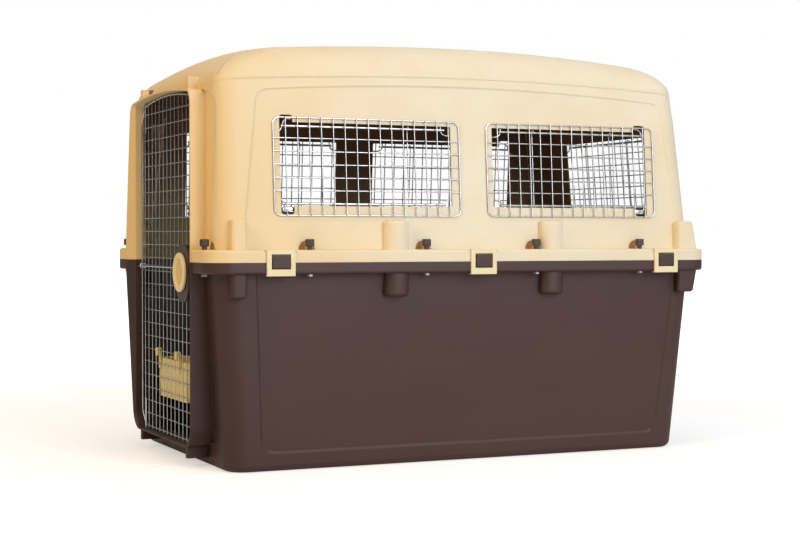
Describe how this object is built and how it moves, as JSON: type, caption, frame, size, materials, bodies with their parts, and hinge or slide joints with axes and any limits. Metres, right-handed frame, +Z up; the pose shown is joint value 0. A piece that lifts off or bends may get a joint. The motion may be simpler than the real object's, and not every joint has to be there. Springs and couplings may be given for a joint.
{
  "type": "airline dog crate",
  "caption": "Two-part moulded dog crate with an arched roof, bolted and clipped rim, wire window grilles and a wire mesh door with a knob latch and a hanging bowl.",
  "frame": {"origin": "on the floor at the centre of the outer box", "axes": "+X along the crate away from the door, +Y across it, +Z up"},
  "size_m": [1.023, 0.651, 0.776],
  "materials": {
    "cream_shell": "satin moulded plastic",
    "brown_shell": "satin moulded plastic",
    "cream_fittings": "satin moulded plastic",
    "brown_fittings": "satin moulded plastic",
    "bright_wire": "bright plated wire",
    "zinc_steel": "zinc plated"
  },
  "bodies": {
    "crate": {"lower_shell": "brown_shell", "upper_shell": "cream_shell", "rim_bolt_1": "zinc_steel", "rim_bolt_2": "zinc_steel", "rim_bolt_3": "zinc_steel", "rim_bolt_4": "zinc_steel", "rim_bolt_5": "zinc_steel", "rim_bolt_6": "zinc_steel", "rim_bolt_7": "zinc_steel", "rim_bolt_8": "zinc_steel", "rim_bolt_9": "zinc_steel", "rim_bolt_10": "zinc_steel", "rim_bolt_11": "zinc_steel", "rim_bolt_12": "zinc_steel", "rim_nut_1": "brown_fittings", "rim_nut_2": "brown_fittings", "rim_nut_3": "brown_fittings", "rim_nut_4": "brown_fittings", "rim_nut_5": "brown_fittings", "rim_nut_6": "brown_fittings", "rim_nut_7": "brown_fittings", "rim_nut_8": "brown_fittings", "rim_nut_9": "brown_fittings", "rim_nut_10": "brown_fittings", "rim_nut_11": "brown_fittings", "rim_nut_12": "brown_fittings", "window_grille_left_front": "bright_wire", "window_grille_left_back": "bright_wire", "window_grille_right_front": "bright_wire", "window_grille_right_back": "bright_wire", "window_grille_rear": "bright_wire", "grille_retainer_left_front": "bright_wire", "grille_retainer_left_back": "bright_wire", "grille_retainer_right_front": "bright_wire", "grille_retainer_right_back": "bright_wire", "grille_retainer_rear": "bright_wire"},
    "door": {"door_grille": "bright_wire", "latch_base": "brown_fittings", "latch_cover": "brown_fittings", "latch_clamp": "zinc_steel", "latch_screw_low": "zinc_steel", "latch_screw_high": "zinc_steel"},
    "knob": {"latch_knob": "cream_fittings", "latch_pinion": "brown_fittings"},
    "bolt": {"latch_bolt": "zinc_steel"},
    "rod": {"cross_rod": "bright_wire"},
    "bowl": {"door_bowl": "cream_fittings"},
    "clip_left_1": {"shell_clip_left_1": "cream_fittings"},
    "clip_left_2": {"shell_clip_left_2": "cream_fittings"},
    "clip_left_3": {"shell_clip_left_3": "cream_fittings"},
    "clip_right_1": {"shell_clip_right_1": "cream_fittings"},
    "clip_right_2": {"shell_clip_right_2": "cream_fittings"},
    "clip_right_3": {"shell_clip_right_3": "cream_fittings"}
  },
  "joints": [
    {"name": "door_swing", "type": "hinge", "parent": "crate", "child": "door", "pos_m": [-0.4885, 0.1512, 0.36], "axis": [0, 0, -1], "range_deg": [0, 90]},
    {"name": "knob_turn", "type": "hinge", "parent": "door", "child": "knob", "pos_m": [-0.5, -0.139, 0.349], "axis": [-1, 0, 0], "range_deg": [0, 90]},
    {"name": "bolt_slide", "type": "slide", "parent": "door", "child": "bolt", "axis": [0, -1, 0], "range_m": [0, 0.0118]},
    {"name": "rod_slide", "type": "slide", "parent": "door", "child": "rod", "axis": [0, 1, 0], "range_m": [0, 0.0118]},
    {"name": "bowl_lift", "type": "slide", "parent": "door", "child": "bowl", "axis": [0, 0, 1], "range_m": [0, 0.012]},
    {"name": "clip_left_1_swing", "type": "hinge", "parent": "crate", "child": "clip_left_1", "pos_m": [-0.3805, -0.3182, 0.387], "axis": [-1, 0, 0], "range_deg": [0, 90]},
    {"name": "clip_left_2_swing", "type": "hinge", "parent": "crate", "child": "clip_left_2", "pos_m": [0.0115, -0.3182, 0.387], "axis": [-1, 0, 0], "range_deg": [0, 90]},
    {"name": "clip_left_3_swing", "type": "hinge", "parent": "crate", "child": "clip_left_3", "pos_m": [0.4035, -0.3182, 0.387], "axis": [-1, 0, 0], "range_deg": [0, 90]},
    {"name": "clip_right_1_swing", "type": "hinge", "parent": "crate", "child": "clip_right_1", "pos_m": [-0.3805, 0.3182, 0.387], "axis": [1, 0, 0], "range_deg": [0, 90]},
    {"name": "clip_right_2_swing", "type": "hinge", "parent": "crate", "child": "clip_right_2", "pos_m": [0.0115, 0.3182, 0.387], "axis": [1, 0, 0], "range_deg": [0, 90]},
    {"name": "clip_right_3_swing", "type": "hinge", "parent": "crate", "child": "clip_right_3", "pos_m": [0.4035, 0.3182, 0.387], "axis": [1, 0, 0], "range_deg": [0, 90]}
  ],
  "couplings": [
    {"joint": "bolt_slide", "follows": "knob_turn", "m_per_rad": 0.0075},
    {"joint": "rod_slide", "follows": "knob_turn", "m_per_rad": 0.0075}
  ]
}
